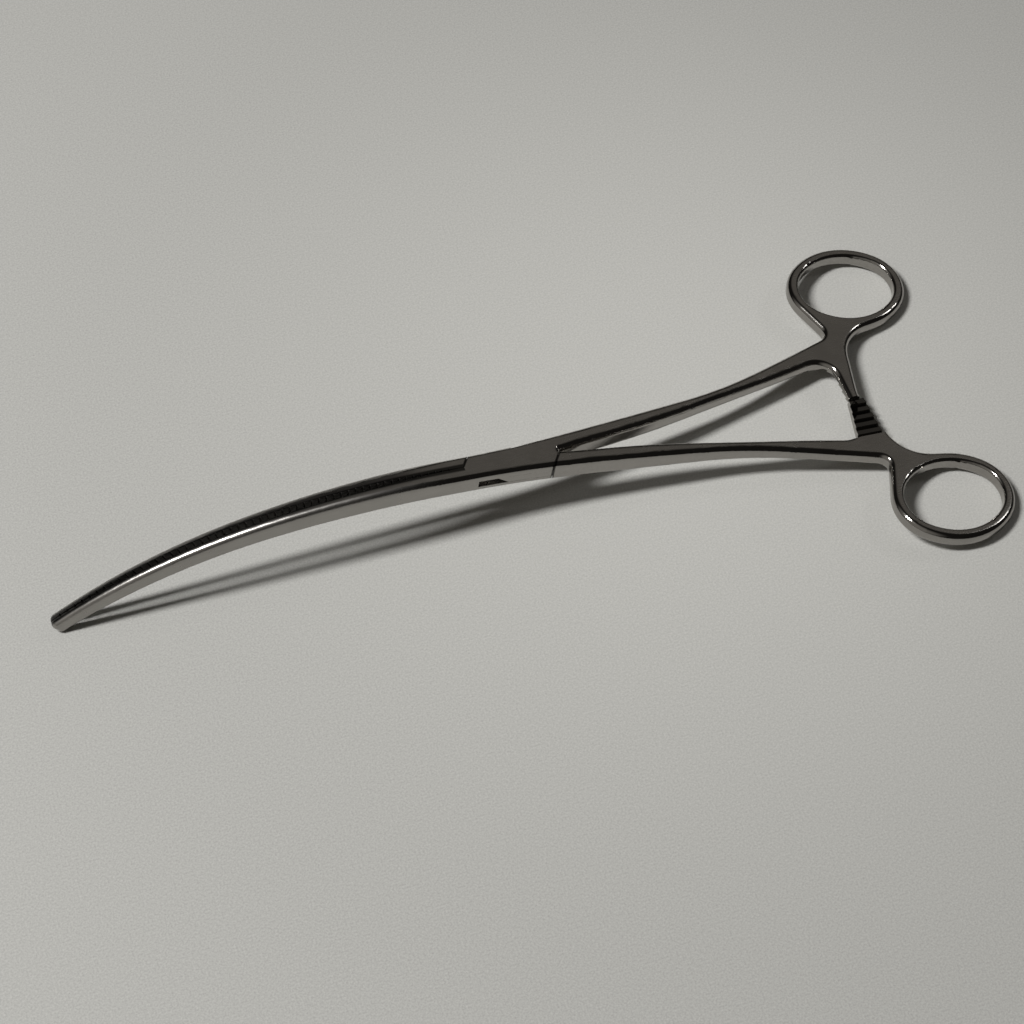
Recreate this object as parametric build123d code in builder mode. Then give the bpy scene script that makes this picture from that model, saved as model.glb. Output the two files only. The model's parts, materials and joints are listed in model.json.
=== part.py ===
from build123d import *
import math
import os

# Ring-handled clamp with long curved jaws and a box lock, drawn closed.
# Drawing frame: pin centre at the origin, X towards the finger rings, Y towards
# the ring of the slotted half, Z along the pin. The last step lays it on a table.

# Box lock and pin
box_reach = 14.2            # pin to where the box ends on the midplane
box_height = 6.8
box_half_width = 4.25       # at the pin
box_half_jaw_end = 4.05
box_half_shank_end = 5.3
crotch_round = 0.3          # where the shanks part, at the end of the box
crotch_slope = 0.12
cut_lean = 2.8              # how far each parting cut runs back across half the box
cut_gap = 0.15              # seen as a dark line along each parting cut
slot_height = 2.4
slot_drop = 0.25            # slot centre below the middle of the box
slot_wall_lean = 3.6        # the slot's closed ends lean more than the cuts
tongue_play = 0.05          # clearance above and below the tongue
tongue_flush = 1.5          # from pin to where the tongue comes flush with the side
pin_radius = 2.0
pin_play = 0.05             # radial running clearance in the tongue

# Rounding of the outer edges, above and below
shoulder = 1.7
under_round = 1.3

# Jaws
straight_run = 20.0         # pin to where the curve begins
bend_near = 215.0
bend_near_end = 75.0        # distance from the pin where the tighter curve begins
bend_far = 140.0
jaw_reach = 127.3
jaw_waist_reach = 70.0
jaw_waist_half_width = 3.25
jaw_slim_run = 17.0         # from the tip back to where the jaws have slimmed
jaw_slim_half_width = 2.55
jaw_tip_half_width = 2.25
jaw_tip_half_height = 2.4
jaw_thinning = 1.6          # above 1 the jaws keep their height longer before they thin
jaw_gap_mid = 0.85          # half of the lens shaped gap between closed jaws
jaw_gap_end = 0.05
nose_round = 1.7
groove_pitch = 2.0
groove_depth = 0.3
groove_width = 1.2

# Shanks: share of the way from the box to the neck, offset from the midplane, width
shank_stations = [(0.17, 4.45, 4.7), (0.44, 7.7, 3.8), (0.71, 12.6, 4.4)]
shank_taper_end = 92.0      # as thin as the rings from here on
shank_inner_end = 15.65     # offset of the shank's inner edge where it meets the arm
neck_back = 12.7            # from the ring's centre to the corner of the neck, both ways
neck_down = 16.4
neck_round = 3.0
root_back = 8.1             # the same for the corner on the arm's side
root_down = 16.9
root_round = 12.0

# Finger rings, oval
ring_height = 4.4
ring_x = 118.4
ring_y = 39.4
ring_long = 16.35           # half axes of the wire's centre line
ring_short = 13.4
ring_end_radius = 11.65     # of the same line at its two narrow ends
ring_wire = 3.3
ring_hole_round = 1.1

# Ratchet arms and teeth
arm_tip_back = 12.65        # from the ring's centre to the upper arm's outer side, at its tip
arm_inner_back = 16.0       # from the ring's centre to its inner side
arm_corner = 6.0            # rounding between shank and arm
lower_arm_back = 9.7        # from the ring's centre to the lower arm's outer side
lower_arm_width = 8.3       # at its root
lower_arm_taper = 3.1       # how much its inner and outer side draw in towards the tip
lower_arm_outer_taper = 0.6
lower_arm_seat = 0.8        # how far it reaches into the neck
upper_arm_tip = 0.3         # how far each arm reaches past the midplane
lower_arm_tip = 0.8
tooth_first = 1.2           # distance of the first tooth from the midplane
tooth_pitch = 2.65
tooth_count = 5
tooth_depth = 0.75
tooth_plane = -0.45         # height where the two sets of teeth pass each other
tooth_play = 0.05
lower_arm_drop = 0.6        # how far the lower arm stands below its shank

box_half = box_height / 2
wire_half = ring_wire / 2
ring_half = ring_height / 2
clear_of_all = 2 * ring_y   # half size of the bodies that only cut
beside = 0.1                # tells an outline edge from one on the midplane or at the box


def centre_line(reach):
    """Point on the jaw's centre line at a distance from the pin, and its slope angle."""
    if reach <= straight_run:
        return Vector(-reach, 0, 0), 0.0
    angle = math.asin((min(reach, bend_near_end) - straight_run) / bend_near)
    drop = bend_near * (1 - math.cos(angle))
    if reach > bend_near_end:
        end_angle = math.asin(math.sin(angle) + (reach - bend_near_end) / bend_far)
        drop += bend_far * (math.cos(angle) - math.cos(end_angle))
        angle = end_angle
    return Vector(-reach, 0, -drop), angle


def jaw_half_height(reach):
    share = max(0.0, (reach - jaw_waist_reach / 2) / (jaw_reach - jaw_waist_reach / 2))
    return box_half + (jaw_tip_half_height - box_half) * share ** jaw_thinning


def jaw_edge(side):
    """Points along the jaw's upper or lower edge, in its side view."""
    points = []
    for share in (0.15, 0.35, 0.55, 0.75, 1.0):
        reach = straight_run + share * (jaw_reach - straight_run)
        centre, angle = centre_line(reach)
        half = side * jaw_half_height(reach)
        points.append((centre.X - half * math.sin(angle), centre.Z + half * math.cos(angle)))
    return points


def rims(faces_of, side, facing=0.75):
    """Outline edges of a solid's upper (side 1) or lower (side -1) faces."""
    edges = [edge for face in faces_of.faces() if side * face.normal_at().Z > facing
             for edge in face.edges()]
    return ShapeList([edge for edge in edges if edges.count(edge) == 1])


tip_angle = centre_line(jaw_reach)[1]
tip_run = (-math.cos(tip_angle), -math.sin(tip_angle))
past_tip = jaw_reach + box_half


def gap_at(reach):
    """Half the gap between the closed jaws: widest midway, closed at both ends."""
    from_middle = (2 * reach - past_tip - box_reach) / (past_tip - box_reach)
    return jaw_gap_end + (jaw_gap_mid - jaw_gap_end) * (1 - from_middle ** 2)


# One jaw, on the +Y side: its side view cut by its plan view.
with BuildPart() as jaw:
    with BuildSketch(Plane.XZ.offset(-clear_of_all)):
        with BuildLine():
            Line((-box_reach, -box_half), (-box_reach, box_half))
            Line((-box_reach, box_half), (-straight_run, box_half))
            top_edge = Spline((-straight_run, box_half), *jaw_edge(1), tangents=[(-1, 0), tip_run])
            low_edge = Spline((-straight_run, -box_half), *jaw_edge(-1), tangents=[(-1, 0), tip_run])
            Line(top_edge @ 1, low_edge @ 1)
            Line((-straight_run, -box_half), (-box_reach, -box_half))
        make_face()
    extrude(amount=2 * clear_of_all)
    with BuildSketch(Plane.XY.offset(-clear_of_all)):
        with BuildLine():
            middle = (box_reach + past_tip) / 2
            ThreePointArc((-box_reach, gap_at(box_reach)), (-middle, gap_at(middle)),
                          (-past_tip, gap_at(past_tip)))
            Line((-past_tip, gap_at(past_tip)), (-past_tip, jaw_tip_half_width))
            Spline((-past_tip, jaw_tip_half_width), (jaw_slim_run - jaw_reach, jaw_slim_half_width),
                   (-jaw_waist_reach, jaw_waist_half_width),
                   (-box_reach, box_half_jaw_end), tangents=[(1, 0.01), (1, 0)])
            Line((-box_reach, box_half_jaw_end), (-box_reach, gap_at(box_reach)))
        make_face()
    extrude(amount=2 * clear_of_all, mode=Mode.INTERSECT)
    tip_face = jaw.faces().filter_by(GeomType.PLANE).sort_by(Axis.X)[0]
    fillet(tip_face.edges().sort_by(Axis.Y)[-1], nose_round)
    for side, radius in ((1, shoulder), (-1, under_round)):
        rim = [edge for edge in rims(jaw, side)
               if edge.center().Y > gap_at(-edge.center().X) + beside
               and edge.center().X < -box_reach - beside]
        fillet(rim, radius)


def ring_points(beyond):
    """Ends and joins of an oval of four arcs, a distance beyond the ring wire's centre line."""
    long_half, short_half, end = ring_long + beyond, ring_short + beyond, ring_end_radius + beyond
    flat = (long_half ** 2 + short_half ** 2 - 2 * long_half * end) / (2 * (short_half - end))
    join_x = (long_half - end) * flat / (flat - end)
    join_y = (flat - short_half) * end / (flat - end)
    places = ((-long_half, 0), (-join_x, join_y), (0, short_half), (join_x, join_y),
              (long_half, 0), (join_x, -join_y), (0, -short_half), (-join_x, -join_y))
    return [Vector(ring_x + x, ring_y + y) for x, y in places]


def touching(corner, centre, radius, turn):
    """Where a line from a corner touches a circle: turn 1 or -1 picks the side."""
    towards = corner - centre
    spread = math.degrees(math.acos(radius / towards.length))
    return centre + towards.normalized().rotate(Axis.Z, turn * spread) * radius


def in_hole(edge):
    """Whether an outline edge is that of a finger ring's hole."""
    place = Vector(edge.center().X, abs(edge.center().Y))
    return (place - Vector(ring_x, ring_y)).length < (ring_long + ring_short) / 2


# Plan of the far shank, from the box to the corner of its neck.
neck_corner = Vector(ring_x - neck_back, ring_y - neck_down)
root_corner = Vector(ring_x - root_back, ring_y - root_down)
arm_tip = Vector(ring_x - arm_tip_back, 0)
arm_inner_x = ring_x - arm_inner_back
lower_arm_x = ring_x - lower_arm_back
shank_outer = []
shank_inner = []
for share, offset, width in shank_stations:
    station_x = box_reach + share * (neck_corner.X - box_reach)
    shank_outer.append((station_x, offset + width / 2))
    shank_inner.append((station_x, offset - width / 2))

# Box, shanks, necks and finger rings of both halves as one blank. The two ratchet
# arms are a single bar here, and the halves are cut apart further down.
with BuildPart() as blank:
    with BuildSketch(Plane.XY.offset(-box_half)) as blank_plan:
        with BuildLine():
            Line((-box_reach, 0), (-box_reach, box_half_jaw_end))
            side = TangentArc((-box_reach, box_half_jaw_end), (box_reach, box_half_shank_end),
                              tangent=(1, 0))
            for place in (*shank_outer, neck_corner):
                side = TangentArc(side @ 1, place, tangent=side % 1)
            left, join_1, top, join_2, right, join_3, bottom, join_4 = ring_points(wire_half)
            end_radius = ring_end_radius + wire_half
            touch = touching(neck_corner, left + Vector(end_radius, 0), end_radius, -1)
            Line(neck_corner, touch)
            ThreePointArc(touch, left, join_1)
            ThreePointArc(join_1, top, join_2)
            end_arc = ThreePointArc(join_2, right, join_3)
            low_arc = TangentArc(join_3, bottom, tangent=end_arc % 1, mode=Mode.PRIVATE)
            touch = touching(root_corner, low_arc.arc_center, low_arc.radius, 1)
            TangentArc(join_3, touch, tangent=end_arc % 1)
            Line(touch, root_corner)
            Line(root_corner, arm_tip)
            mirror(about=Plane.XZ)
        make_face()
        with BuildLine():
            side = TangentArc((box_reach, crotch_round), shank_inner[0], tangent=(1, crotch_slope))
            for place in (*shank_inner[1:], (arm_inner_x, shank_inner_end)):
                side = TangentArc(side @ 1, place, tangent=side % 1)
            Line((arm_inner_x, shank_inner_end), (arm_inner_x, 0))
            mirror(about=Plane.XZ)
            TangentArc((box_reach, crotch_round), (box_reach, -crotch_round),
                       tangent=(-1, -crotch_slope))
        make_face(mode=Mode.SUBTRACT)
        with BuildLine():
            left, join_1, top, join_2, right, join_3, bottom, join_4 = ring_points(-wire_half)
            ThreePointArc(join_4, left, join_1)
            ThreePointArc(join_1, top, join_2)
            ThreePointArc(join_2, right, join_3)
            ThreePointArc(join_3, bottom, join_4)
        hole = make_face(mode=Mode.SUBTRACT)
        mirror(hole, about=Plane.XZ, mode=Mode.SUBTRACT)
        for corner, radius in ((neck_corner, neck_round), (root_corner, root_round), (arm_tip, root_round),
                               (Vector(arm_inner_x, shank_inner_end), arm_corner)):
            fillet([vertex for vertex in blank_plan.vertices()
                    if (Vector(vertex.X, abs(vertex.Y)) - corner).length < beside], radius)
    extrude(amount=box_height)
    with BuildSketch(Plane.XZ.offset(-clear_of_all)):
        with BuildLine():
            past_ring = ring_x + ring_long + ring_wire
            Line((-box_reach, 0), (-box_reach, box_half))
            Line((-box_reach, box_half), (box_reach, box_half))
            Spline((box_reach, box_half), (shank_taper_end, ring_half), tangents=[(1, 0), (1, 0)])
            Line((shank_taper_end, ring_half), (past_ring, ring_half))
            Line((past_ring, ring_half), (past_ring, 0))
            mirror(about=Plane.XZ)
        make_face()
    extrude(amount=2 * clear_of_all, mode=Mode.INTERSECT)
    for side, radius in ((1, shoulder), (-1, under_round)):
        fillet([edge for edge in rims(blank, side) if in_hole(edge)], ring_hole_round)
        fillet([edge for edge in rims(blank, side)
                if not in_hole(edge) and edge.center().X > -box_reach + beside], radius)

# What the two halves leave each other in plan. The cuts lean so that a half
# turned open moves straight off them.
lean = cut_lean / box_half_jaw_end
wall_lean = slot_wall_lean / box_half_jaw_end
across = clear_of_all
past_ends = past_tip + ring_x
between_shanks = shank_inner[0][0] + box_reach
slot_floor = -slot_drop - slot_height / 2
arm_root = tooth_first + tooth_count * tooth_pitch


def tooth_outline(turn):
    """Saw teeth seen along X: turn 1 stands up on the lower arm, -1 hangs from the upper."""
    crest = tooth_plane - turn * tooth_play
    valley = crest - turn * tooth_depth
    points = []
    for tooth in range(math.ceil((arm_root + lower_arm_tip) / tooth_pitch)):
        start = arm_root - tooth * tooth_pitch
        points += [(-turn * start, crest), (-turn * (start - tooth_pitch), valley)]
    beyond = turn * (ring_half + shoulder)
    return points + [(points[-1][0], beyond), (points[0][0], beyond)]


teeth_plane = Plane.YZ.offset(arm_inner_x - arm_corner)
teeth_width = lower_arm_x + shoulder - (arm_inner_x - arm_corner)

# Serrations across the gripping face of the jaw on the +Y side.
groove_planes = []
for number in range(int((jaw_reach - box_reach - 2 * groove_pitch) / groove_pitch)):
    reach = box_reach + (number + 2) * groove_pitch
    centre, angle = centre_line(reach)
    along = (-math.cos(angle), 0, -math.sin(angle))
    upright = (-math.sin(angle), 0, math.cos(angle))
    groove_planes.append(Plane(origin=(centre.X, gap_at(reach), centre.Z), x_dir=along, z_dir=upright))

with BuildPart() as serrated_jaw:
    add(jaw.part)
    with BuildSketch(*groove_planes):
        Polygon((-groove_width / 2, groove_depth), (0, -groove_depth), (groove_width / 2, groove_depth),
                align=None)
    extrude(amount=box_height, both=True, mode=Mode.SUBTRACT)

# Tongue of the other half, inside the box.
with BuildPart() as tongue:
    with BuildSketch(Plane.XY.offset(slot_floor + tongue_play)):
        flush = box_half_width + cut_gap
        Polygon((-box_reach, jaw_gap_end), (-box_reach, flush), (tongue_flush, flush),
                (box_reach, -jaw_gap_end), (box_reach, -2 * flush), (-tongue_flush, -flush),
                align=None)
    extrude(amount=slot_height - 2 * tongue_play)
    add(blank.part, mode=Mode.INTERSECT)

# Half with the tongue: far jaw, near shank with the lower ratchet arm, near ring.
with BuildPart() as male_half:
    add(blank.part)
    with BuildSketch(Plane.XY.offset(-box_half)):
        Polygon((-past_ends, jaw_gap_end), (-box_reach, jaw_gap_end),
                (-box_reach + lean * across, across), (past_ends, across), (past_ends, -arm_root),
                (arm_inner_x - arm_corner, -arm_root), (between_shanks, -jaw_gap_end),
                (box_reach, -jaw_gap_end), (box_reach - lean * across, -across),
                (-past_ends, -across), align=None)
    extrude(amount=box_height, mode=Mode.SUBTRACT)
    add(serrated_jaw.part)
    add(tongue.part)
    with BuildSketch(Plane.XY.offset(-ring_half - lower_arm_drop)):
        Polygon((lower_arm_x, -arm_root - lower_arm_seat), (lower_arm_x - lower_arm_outer_taper, lower_arm_tip),
                (lower_arm_x - lower_arm_width + lower_arm_taper, lower_arm_tip),
                (lower_arm_x - lower_arm_width, -arm_root),
                (lower_arm_x - lower_arm_width, -arm_root - lower_arm_seat), align=None)
    extrude(amount=lower_arm_drop + ring_half + tooth_plane)
    with BuildSketch(teeth_plane):
        Polygon(*tooth_outline(1), align=None)
    extrude(amount=teeth_width, mode=Mode.SUBTRACT)
    Cylinder(pin_radius + pin_play, box_height, mode=Mode.SUBTRACT)

# Half with the slotted box: near jaw, far shank with the upper ratchet arm, far ring.
with BuildPart() as female_half:
    add(blank.part)
    with BuildSketch(Plane.XY.offset(-box_half)):
        parting = -box_reach + cut_gap * math.hypot(1, lean)
        Polygon((-past_ends, 0), (parting, 0), (parting + lean * across, across),
                (-past_ends, across), align=None)
        Polygon((-parting, 0), (between_shanks, 0), (between_shanks, -upper_arm_tip),
                (past_ends, -upper_arm_tip), (past_ends, -across),
                (-parting - lean * across, -across), align=None)
    extrude(amount=box_height, mode=Mode.SUBTRACT)
    with BuildSketch(Plane.XY.offset(slot_floor)):
        reach_out = 2 * box_half_width
        Polygon((-box_reach, 0), (-box_reach + lean * reach_out, reach_out),
                (box_reach - wall_lean * reach_out, reach_out), (box_reach, 0),
                (box_reach - lean * reach_out, -reach_out),
                (-box_reach + wall_lean * reach_out, -reach_out), align=None)
    extrude(amount=slot_height, mode=Mode.SUBTRACT)
    add(serrated_jaw.part.mirror(Plane.XZ))
    with BuildSketch(teeth_plane):
        Polygon(*tooth_outline(-1), align=None)
    extrude(amount=teeth_width, mode=Mode.SUBTRACT)
    Cylinder(pin_radius, box_height, mode=Mode.SUBTRACT)

# Rivet pin, ground flush with the box and fixed in its two cheeks.
with BuildPart() as rivet_pin:
    Cylinder(pin_radius, box_height)

pieces = {"female_half": female_half.part, "male_half": male_half.part, "rivet_pin": rivet_pin.part}

# Lay the clamp on a table: it rests on both rings and on the jaws' tip.
corners = [corner for piece in pieces.values() for corner in piece.tessellate(0.02, 0.2)[0]]
jaw_corners = [corner for corner in corners if corner.X < -jaw_waist_reach]
ring_corners = [corner for corner in corners if corner.X > neck_corner.X]
tilt = 0.0
for _ in range(8):
    def height(point, lean_angle=tilt):
        return point.Z * math.cos(lean_angle) - point.X * math.sin(lean_angle)
    tip_rest = min(jaw_corners, key=height)
    ring_rest = min(ring_corners, key=height)
    tilt = math.atan2(ring_rest.Z - tip_rest.Z, ring_rest.X - tip_rest.X)
turn = Location((0, 0, 0), (0, math.degrees(tilt), 0))
laid = Compound(children=[piece.moved(turn) for piece in pieces.values()]).bounding_box()
to_table = Location((-laid.center().X, -laid.center().Y, -laid.min.Z)) * turn

os.makedirs("parts", exist_ok=True)
for name, piece in pieces.items():
    placed = piece.moved(to_table)
    placed.label = name
    export_step(placed, f"parts/{name}.step")

pin_place = to_table.position
pin_axis = (math.sin(tilt), 0, math.cos(tilt))
print("tilt", round(math.degrees(tilt), 3), "pin at", pin_place, "pin axis", pin_axis)
print("size", laid.size)
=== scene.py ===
# %% [markdown]
# # A long vascular clamp in polished steel
# The clamp lies closed on a pale table. Its three solids come from the model: the
# slotted half, the tongued half and the rivet pin that joins them in the box lock.
# They already have the right shape, so this lesson is about what makes forged
# surgical steel look real: the camera, the light that it mirrors, and its finish.

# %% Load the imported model
import json
import math
import bpy
from mathutils import Euler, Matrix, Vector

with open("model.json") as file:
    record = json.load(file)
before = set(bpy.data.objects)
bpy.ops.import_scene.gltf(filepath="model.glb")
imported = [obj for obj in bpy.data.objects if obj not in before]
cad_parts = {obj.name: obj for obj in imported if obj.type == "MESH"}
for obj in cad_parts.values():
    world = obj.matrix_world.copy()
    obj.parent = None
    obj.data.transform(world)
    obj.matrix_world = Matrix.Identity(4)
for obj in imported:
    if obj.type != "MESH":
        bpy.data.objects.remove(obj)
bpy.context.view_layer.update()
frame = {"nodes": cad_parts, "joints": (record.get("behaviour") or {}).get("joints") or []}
nodes = frame["nodes"]

# %% [markdown]
# ## The camera
# The photograph was taken from in front and above, a little to the left, from
# about three quarters of a metre. A place, three angles and a lens fix that view.

# %% The camera
camera_place = (-0.1377, -0.3981, 0.6083)
camera_angles = (34.503, -0.306, -18.429)
camera_lens = 92.5
sensor = 36.0
nearest = 0.01              # what is nearer or farther than this isn't drawn
farthest = 20.0


def add_object(name, data):
    made = bpy.data.objects.new(name, data)
    bpy.context.scene.collection.objects.link(made)
    return made


camera_data = bpy.data.cameras.new("camera")
camera_data.lens = camera_lens
camera_data.sensor_width = sensor
camera_data.clip_start = nearest
camera_data.clip_end = farthest
camera = add_object("camera", camera_data)
camera.location = camera_place
camera.rotation_euler = Euler([math.radians(angle) for angle in camera_angles], "XYZ")
bpy.context.scene.camera = camera
bpy.context.scene.view_settings.view_transform = "Standard"
print("camera is", round(camera.location.length, 2), "m away")

# %% [markdown]
# ## Shader maths as Python
# A material is a graph of nodes. Writing each node by hand hides the idea, so one
# small class wraps a socket, and adding, multiplying or comparing two of them adds
# a Math node. The room around the clamp is such a graph too, so it uses the class.


# %% A socket that does arithmetic
class Value:
    """One output socket of a graph, with operators that add Math nodes."""

    def __init__(self, graph, socket):
        self.graph = graph
        self.socket = socket

    def math(self, operation, *others):
        return self.graph.node("ShaderNodeMath", {"operation": operation}, [self, *others])

    def __add__(self, other):
        return self.math("ADD", other)

    def __sub__(self, other):
        return self.math("SUBTRACT", other)

    def __rsub__(self, other):
        return self.math("MULTIPLY_ADD", -1.0, other)

    def __mul__(self, other):
        return self.math("MULTIPLY", other)

    def __lt__(self, other):
        return self.math("LESS_THAN", other)

    def __gt__(self, other):
        return self.math("GREATER_THAN", other)

    def __abs__(self):
        return self.math("ABSOLUTE")

    __radd__ = __add__
    __rmul__ = __mul__

    def rise(self, low, high):
        """0 below low, 1 above high, and a smooth rise in between."""
        return self.graph.node("ShaderNodeMapRange", {"interpolation_type": "SMOOTHSTEP"},
                               {"Value": self, "From Min": low, "From Max": high})

    def fall(self, low, high):
        """1 below low, 0 above high, and a smooth fall in between."""
        return 1.0 - self.rise(low, high)

    def dot(self, axis):
        """How far a vector reaches along an axis."""
        return self.graph.node("ShaderNodeVectorMath", {"operation": "DOT_PRODUCT"},
                               [self, tuple(axis)], output="Value")

    def plus(self, vector):
        """The sum of two vectors or two colours, each part by itself."""
        return self.graph.node("ShaderNodeVectorMath", {"operation": "ADD"}, [self, vector])


# %% A graph that takes a node's type, its settings and what feeds it
class Graph:
    """Adds nodes to the tree of a new material or world."""

    def __init__(self, owner):
        owner.use_nodes = True
        self.tree = owner.node_tree
        self.tree.nodes.clear()

    def link(self, value, socket):
        if isinstance(value, Value):
            self.tree.links.new(value.socket, socket)
        else:
            socket.default_value = value

    def node(self, kind, settings=None, inputs=(), output=0):
        made = self.tree.nodes.new(kind)
        for name, value in (settings or {}).items():
            if name == "stops":
                set_stops(made.color_ramp, value)
            else:
                setattr(made, name, value)
        pairs = inputs.items() if isinstance(inputs, dict) else enumerate(inputs)
        for key, value in pairs:
            self.link(value, made.inputs[key])
        return Value(self, made.outputs[output])

    def end(self, kind, surface):
        """The output node, which takes the finished surface."""
        self.link(surface, self.tree.nodes.new(kind).inputs["Surface"])


def set_stops(ramp, stops):
    while len(ramp.elements) < len(stops):
        ramp.elements.new(0.5)
    for element, (position, colour) in zip(ramp.elements, stops):
        element.position = position
        element.color = (*colour, 1.0)


def shade(colour, share):
    return tuple(share * part for part in colour)


# %% [markdown]
# ## Finding a place on the clamp
# The finish changes from one part of the clamp to the next. All three solids sit at
# the origin of one frame, so object coordinates say where a spot is: X runs along
# the clamp and Y across it. The clamp rests on its jaw tips and ring ends, so it
# leans a little, and the rivet pin leans with it. What belongs to the box lock or
# the ratchet is therefore measured from the pin and along it.

# %% Where a spot is, and which way it faces
pin_axis = -1 * Vector(frame["joints"][0]["axis"])
pin_place = Vector(frame["joints"][0]["pos_m"])
clamp_axis = Vector((0.0, 1.0, 0.0)).cross(pin_axis)
print("pin leans by", round(math.degrees(math.acos(pin_axis.z)), 1), "degrees")


class Spot:
    """A spot on the steel: its place on the clamp and the way that it faces."""

    def __init__(self, graph):
        self.place = graph.node("ShaderNodeTexCoord", output="Object")
        self.along = graph.node("ShaderNodeSeparateXYZ", {}, [self.place], output="X")
        self.across = graph.node("ShaderNodeSeparateXYZ", {}, [self.place], output="Y")
        self.outwards = abs(self.across)
        self.behind_pin = self.place.dot(clamp_axis) - pin_place.dot(clamp_axis)
        self.above_pin = self.place.dot(pin_axis) - pin_place.dot(pin_axis)
        self.facing = graph.node("ShaderNodeTexCoord", output="Normal")
        self.facing_up = self.facing.dot(pin_axis)


# %% [markdown]
# ## Steel
# Forged stainless steel is polished after it is forged. The flat tops are dressed
# on a belt and keep fine lines along the clamp, so they mirror the room softly.
# The rounded edges are buffed, and show the lamp as small sharp spots. One mask
# tells the two apart: how nearly the surface faces along the rivet pin. A picture
# of worn steel could be wrapped around the solids instead, but masks and noises
# need no unwrapping and stay as sharp from close by.

# %% The steel itself
steel_colour = (0.37, 0.355, 0.335)
buffed_roughness = 0.10
belt_roughness = 0.27
flat_from = 0.955           # how nearly a flat top faces along the pin
flat_to = 0.995

# %% [markdown]
# ## Dull places and painted shade
# The wheel doesn't reach everywhere. The gripping faces between the jaws stay
# satin, and their colour is darkened as painted shade, most at the rim, where the
# two jaws meet. In the box lock the two halves part along two hairlines, one on
# each side of the pin, which come nearer to it as they run outwards. They are
# darkened as dirt and painted shade. The ratchet's teeth are darkened as painted
# shade from the arm above them. All this could be painted on by hand. Worked out
# from where a spot is, it needs no painting, and it goes with its half when the
# clamp is opened. Each mask takes some of the steel's colour away.

# %% Gripping faces
grip_begin = -0.0155        # where they start, along X
grip_from = 0.0008          # how far they reach from the parting between the jaws
grip_to = 0.0015
rim_from = 0.1              # how nearly the rim faces along the pin
rim_to = 0.4
# painted shade on the gripping faces between the jaws, and more of it on the rim
grip_painted_shade = 0.55
rim_painted_shade = 0.4          # added on the rim
grip_roughness = 0.3        # added everywhere else on them


def gripping_faces(spot):
    """One mask for the faces between the jaws, and one for what faces up."""
    grip = (spot.along < grip_begin) * spot.outwards.fall(grip_from, grip_to)
    return grip, spot.facing_up.rise(rim_from, rim_to)


# %% Partings of the box and teeth of the ratchet
seam_start = 0.0142         # how far in front of or behind the pin a parting begins
seam_slope = 0.691          # and how much nearer it comes for each step outwards
seam_from = 0.0003          # half as wide as the hairline is dark
seam_to = 0.0006
# dirt and painted shade in the hairlines of the box lock
seam_dirt_and_shade = 0.95
teeth_behind = 0.09         # where the toothed arm starts, along X
teeth_middle = -0.0065      # its middle, along Y, and how far it reaches from there
teeth_reach = 0.0075
teeth_top = 0.0005          # how high its teeth are, from the middle of the pin
teeth_from = 0.6            # how nearly a tooth's top faces along the pin
teeth_to = 0.8
# painted shade on the lower arm's teeth, under the upper arm
teeth_painted_shade = 0.6


def dirt_and_painted_shade(spot, grip, rim):
    """The share of the steel's colour that a spot has lost to painted shade, and to dirt in
    the partings.
    """
    off_seam = (spot.behind_pin * spot.across.math("SIGN") + seam_start
                - spot.outwards * seam_slope)
    seam = abs(off_seam).fall(seam_from, seam_to)
    teeth = ((spot.along > teeth_behind) * (abs(spot.across - teeth_middle) < teeth_reach)
             * (spot.above_pin < teeth_top) * spot.facing_up.rise(teeth_from, teeth_to))
    darkening = (grip * (rim * rim_painted_shade + grip_painted_shade)).math("MAXIMUM", seam * seam_dirt_and_shade)
    return darkening.math("MAXIMUM", teeth * teeth_painted_shade)


# %% [markdown]
# ## The crown of the jaws
# The polishing wheel leaves the tops of the jaws a little crowned, and the crown
# carries the long white streak. The solids are flat there. A Bump node could crown
# them, but it shows each facet as a tooth of a comb. So the lean is worked out
# and added to the way that the surface faces, more of it away from the highest
# line, and nothing of it outside the jaws.

# %% Leaning the surface
jaws_begin = -0.016         # where the crown starts, along X
jaws_full = -0.040          # and where it is whole
crown_middle = -0.0022      # its highest line, on the near jaw
crown_strength = 240.0      # how much it leans, per metre across it
crown_limit = 0.35          # and at most, on its far side
crown_slope = -0.06         # how much it leans towards the tips
jaw_roughness = 0.19        # what the wheel adds


def crowned(graph, spot, on_jaws):
    """The way that the surface faces, with the crown on the jaws."""
    tilt = ((spot.across - crown_middle) * crown_strength).math("MINIMUM", crown_limit)
    lean = graph.node("ShaderNodeCombineXYZ", {},
                      {"X": on_jaws * crown_slope, "Y": on_jaws * tilt})
    return graph.node("ShaderNodeVectorTransform", {
        "vector_type": "NORMAL", "convert_from": "OBJECT", "convert_to": "WORLD"},
        [spot.facing.plus(lean)])


# %% [markdown]
# ## Marks of the work
# Three noises break up the polish. Lines from the belt run along the clamp: the
# same noise as the others, stretched. Clouds and broad smears are what handling
# and washing leave. They vary the roughness most, and the colour a little.

# %% Lines, clouds and smears
line_stretch = (30.0, 2600.0, 2600.0)
line_detail = 3.0
line_roughness = 0.6
cloud_scale = 160.0
cloud_detail = 4.0
smear_scale = 45.0
smear_detail = 2.0
smear_distortion = 0.6
cloud_swing = 0.06          # how far each one moves the roughness
smear_swing = 0.06
line_swing = 0.08
mark_tint = 0.25            # how far lines and clouds move the colour
worn_share = 0.86           # how much of its colour is left where marks are deepest
worn_at = 0.65
clean_at = 0.85
# the share that is left where dirt and painted shade are deepest
deepest_share = 0.1            # and where it is all in shade
mark_strength = 0.12
mark_depth = 0.00002        # 20 micrometres
cloud_depth = 0.5           # as against a line's


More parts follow.
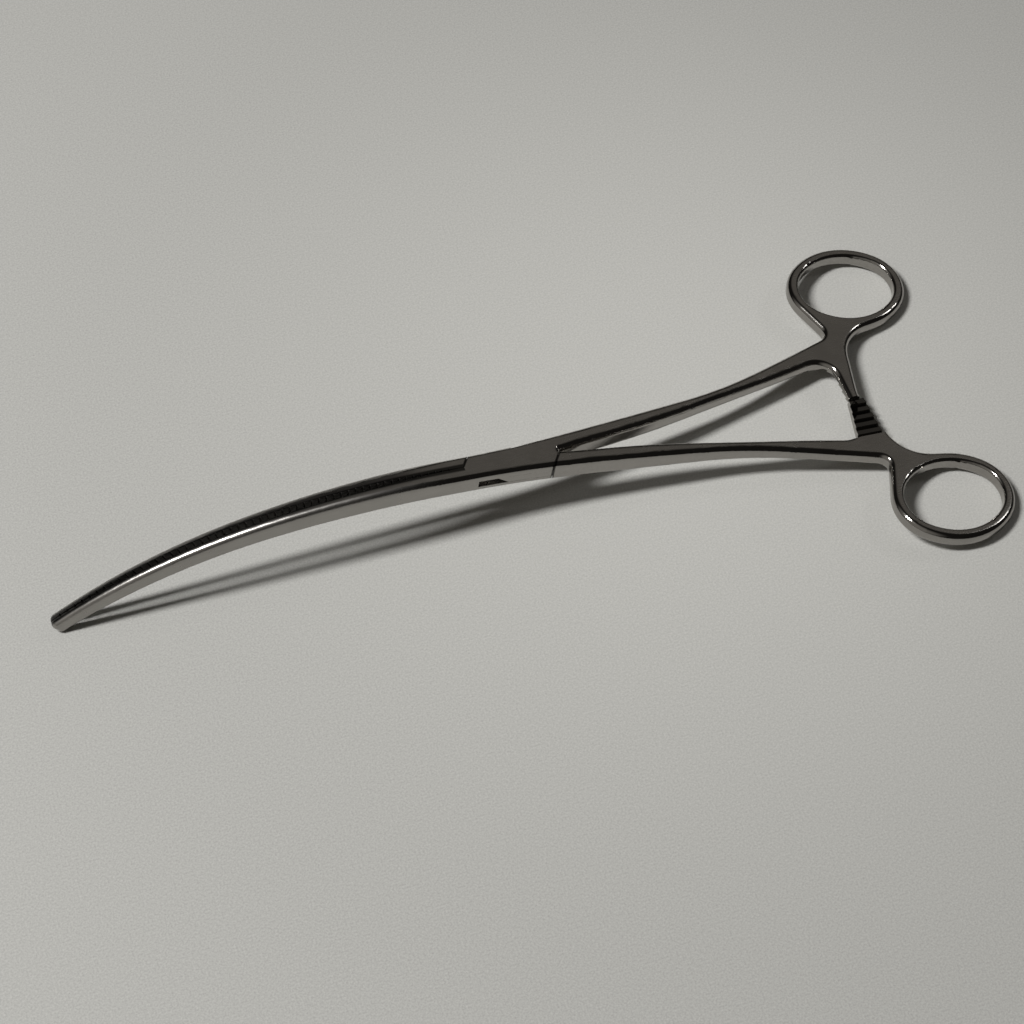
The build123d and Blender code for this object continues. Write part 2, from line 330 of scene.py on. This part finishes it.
def marks(graph, spot):
    stretched = graph.node("ShaderNodeMapping", {},
                           {"Vector": spot.place, "Scale": line_stretch})
    lines = graph.node("ShaderNodeTexNoise", {}, {
        "Vector": stretched, "Scale": 1.0, "Detail": line_detail, "Roughness": line_roughness})
    clouds = graph.node("ShaderNodeTexNoise", {}, {
        "Vector": spot.place, "Scale": cloud_scale, "Detail": cloud_detail})
    smears = graph.node("ShaderNodeTexNoise", {}, {
        "Vector": spot.place, "Scale": smear_scale, "Detail": smear_detail,
        "Distortion": smear_distortion})
    return lines, clouds, smears


# %% Polished forged steel
def steel(name):
    material = bpy.data.materials.new(name)
    graph = Graph(material)
    spot = Spot(graph)
    grip, rim = gripping_faces(spot)
    on_jaws = spot.along.fall(jaws_full, jaws_begin)
    flat = abs(spot.facing_up).rise(flat_from, flat_to)
    lines, clouds, smears = marks(graph, spot)

    rough = flat * (1.0 - on_jaws) * (belt_roughness - buffed_roughness) + buffed_roughness
    rough = (rough + (clouds - 0.5) * cloud_swing + (smears - 0.5) * smear_swing
             + (lines - 0.5) * flat * line_swing)
    rough = rough + on_jaws * jaw_roughness + grip * (1.0 - rim) * grip_roughness

    # the marks of the work, darkened by painted shade, and by dirt in the partings
    polish_dirt_and_shade = (0.5 + lines * mark_tint + clouds * mark_tint) * (1.0 - dirt_and_painted_shade(spot, grip, rim))
    tint = graph.node("ShaderNodeValToRGB", {"stops": [
        (0.0, shade(steel_colour, deepest_share)), (worn_at, shade(steel_colour, worn_share)),
        (clean_at, steel_colour)]}, [polish_dirt_and_shade])

    bump = graph.node("ShaderNodeBump", {}, {
        "Strength": mark_strength, "Distance": mark_depth,
        "Height": (lines - 0.5) * flat + (clouds - 0.5) * cloud_depth,
        "Normal": crowned(graph, spot, on_jaws)})
    graph.end("ShaderNodeOutputMaterial", graph.node("ShaderNodeBsdfPrincipled", {}, {
        "Base Color": tint, "Metallic": 1.0, "Roughness": rough, "Normal": bump}))
    return material


forged_steel = steel("forged_steel")
ground_pin = steel("ground_pin")
finishes = {"female_half": forged_steel, "male_half": forged_steel, "rivet_pin": ground_pin}
for node_name, finish in finishes.items():
    for material_slot in nodes[node_name].material_slots:
        material_slot.material = finish
print("steel on", len(finishes), "pieces,", len(forged_steel.node_tree.nodes), "nodes in it")

# %% [markdown]
# ## The table
# A sheet of pale warm grey stock with a fine grain, a little paler around the
# rings, where a pool of light is painted on. It is the brightest thing that the steel
# sees, and it fills the clamp's sides with light from below. One square is enough,
# and a noise gives its grain.

# %% Table stock
table_colour = (0.46, 0.455, 0.43)
table_roughness = 0.75
table_gloss = 0.25
grain_scale = 1900.0
grain_detail = 4.0
grain_roughness = 0.7
grain_contrast = 1.4
table_darkest = 0.6            # shares of the table's colour
table_palest = 1.15
# a painted pool of light: the table is paler within pale_reach of this middle, and darker
# beyond
pool_of_light_middle = (0.08, 0.02, 0.0)
pale_reach = 0.21
pale_level = 0.75
pool_of_light_fade = 0.38            # how much darker it is from pale_reach on


def table_stock():
    material = bpy.data.materials.new("table_stock")
    graph = Graph(material)
    place = graph.node("ShaderNodeTexCoord", output="Object")
    grain = graph.node("ShaderNodeTexNoise", {}, {
        "Vector": place, "Scale": grain_scale, "Detail": grain_detail,
        "Roughness": grain_roughness})
    away = graph.node("ShaderNodeVectorMath", {"operation": "DISTANCE"},
                      [place, pool_of_light_middle], output="Value")
    # the grain, plus a painted pool of light that fades away from its middle
    grain_and_pool_of_light = ((grain - 0.5) * grain_contrast + pale_level
                - away.rise(0.0, pale_reach) * pool_of_light_fade)
    tint = graph.node("ShaderNodeValToRGB", {"stops": [
        (0.0, shade(table_colour, table_darkest)), (1.0, shade(table_colour, table_palest))]},
        [grain_and_pool_of_light])
    graph.end("ShaderNodeOutputMaterial", graph.node("ShaderNodeBsdfPrincipled", {}, {
        "Base Color": tint, "Roughness": table_roughness, "Specular IOR Level": table_gloss}))
    return material


# %% The table top
table_half = 3.0
corner_signs = ((-1, -1), (1, -1), (1, 1), (-1, 1))
table_mesh = bpy.data.meshes.new("table_top")
table_mesh.from_pydata([(x * table_half, y * table_half, 0.0) for x, y in corner_signs],
                       [], [(0, 1, 2, 3)])
table_mesh.materials.append(table_stock())
table_top = add_object("table_top", table_mesh)
print("table is", 2 * table_half, "m wide")

# %% [markdown]
# ## Light
# Steel has no colour of its own to show, only what it mirrors. The room is dark,
# so the rounded shoulders are nearly black. One dim wall stands where the flat tops
# mirror it, and a glow on the left fills the shadow without showing in the steel.
# Both could be panels that are lit. As soft patches of the world they have no edge
# that the steel would show.

# %% The room
dark_room = (0.015, 0.014, 0.013)
wall_colour = (0.135, 0.127, 0.115)
wall_direction = (0.45, 0.55, 0.70)
wall_from = 0.76            # where it begins, as the cosine of the angle from there
wall_to = 0.98
glow_colour = (0.27, 0.26, 0.24)
glow_direction = (-0.80, -0.33, 0.50)
glow_from = 0.55
glow_to = 0.95
black = (0.0, 0.0, 0.0)

world = bpy.data.worlds.new("room")
room = Graph(world)
direction = room.node("ShaderNodeTexCoord", output="Generated")


def patch(colour, towards, low, high):
    """A soft round patch of light on the room, black everywhere else."""
    return room.node("ShaderNodeValToRGB", {"stops": [(0.0, black), (1.0, colour)]},
                     [direction.dot(towards).rise(low, high)])


wall = patch(wall_colour, wall_direction, wall_from, wall_to)
glow = patch(glow_colour, glow_direction, glow_from, glow_to)
room.end("ShaderNodeOutputWorld",
         room.node("ShaderNodeBackground", {}, [wall.plus(glow).plus(dark_room)]))
bpy.context.scene.world = world
print("room is made of", len(world.node_tree.nodes), "nodes")

# %% [markdown]
# ## Two lamps
# A long lamp on the left gives the white streaks and the shadow, and a weak lamp on
# the right adds the second white spot on each ring. Their light could come from
# the room too, but only a lamp with an edge leaves a spot that is sharp. Both are
# oval, as corners would show in the buffed steel.

# %% Lamps
main_place = (-0.72, 0.04, 1.2)
main_size = (0.21, 0.42)
main_power = 22.5
right_place = (1.0, 0.12, 0.8)
right_size = (0.2, 0.2)
right_power = 0.8


def lamp(name, place, size, power):
    """An oval lamp that shines on the middle of the table."""
    data = bpy.data.lights.new(name, "AREA")
    data.shape = "ELLIPSE"
    data.size, data.size_y = size
    data.energy = power
    made = add_object(name, data)
    made.location = place
    made.rotation_euler = (-Vector(place)).to_track_quat("-Z", "Y").to_euler()
    print(name, "is", round(made.location.length, 2), "m away")


lamp("main_lamp", main_place, main_size, main_power)
lamp("right_lamp", right_place, right_size, right_power)
